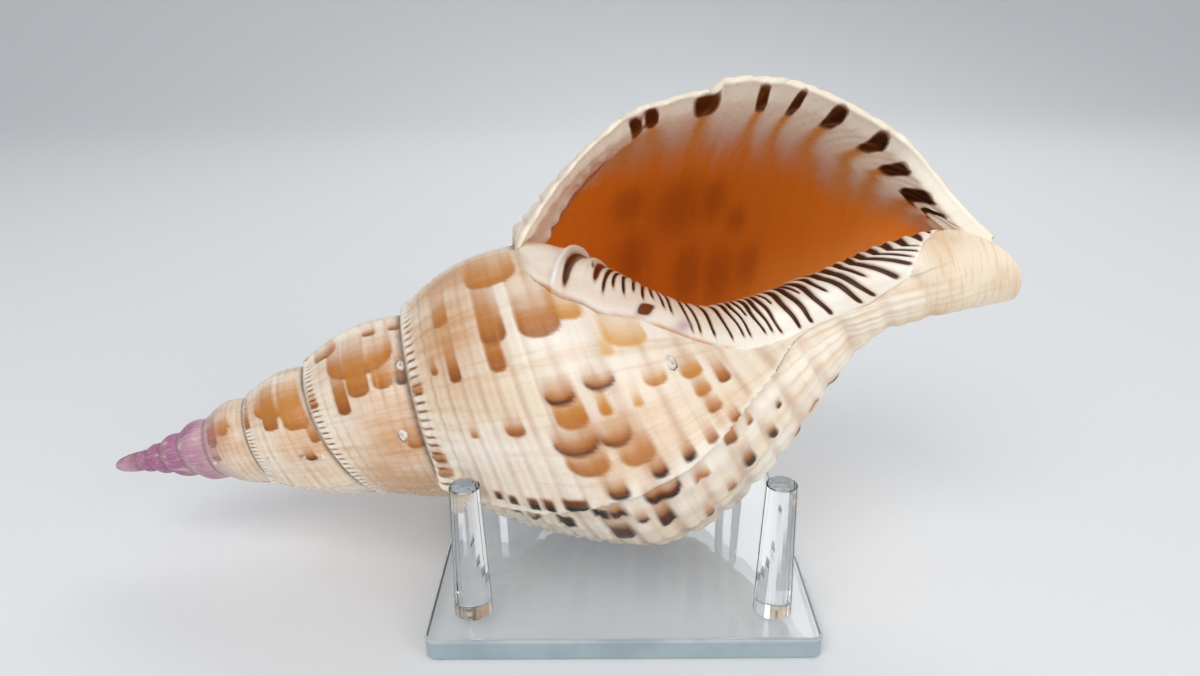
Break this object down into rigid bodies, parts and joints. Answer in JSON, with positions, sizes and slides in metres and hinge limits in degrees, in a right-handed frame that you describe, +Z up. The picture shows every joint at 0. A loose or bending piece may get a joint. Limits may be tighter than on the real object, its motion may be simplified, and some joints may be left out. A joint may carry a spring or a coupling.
{
  "type": "triton shell on a display stand",
  "caption": "Large spiral sea shell with a wide flared mouth, lying mouth up on a clear square plate with tapered pegs.",
  "frame": {"origin": "centre of the underside of the stand's plate", "axes": "+X along the shell from its pointed apex to its siphonal canal, +Y to the side opposite the open mouth, +Z up"},
  "size_m": [0.2994, 0.1225, 0.1644],
  "materials": {
    "shell": "glossy cream and orange-brown shell",
    "clear_acrylic": "polished clear acrylic"
  },
  "bodies": {
    "root": {"shell": "shell", "stand_plate": "clear_acrylic", "peg_front_left": "clear_acrylic", "peg_front_right": "clear_acrylic", "peg_back_left": "clear_acrylic", "peg_back_right": "clear_acrylic"}
  },
  "joints": []
}
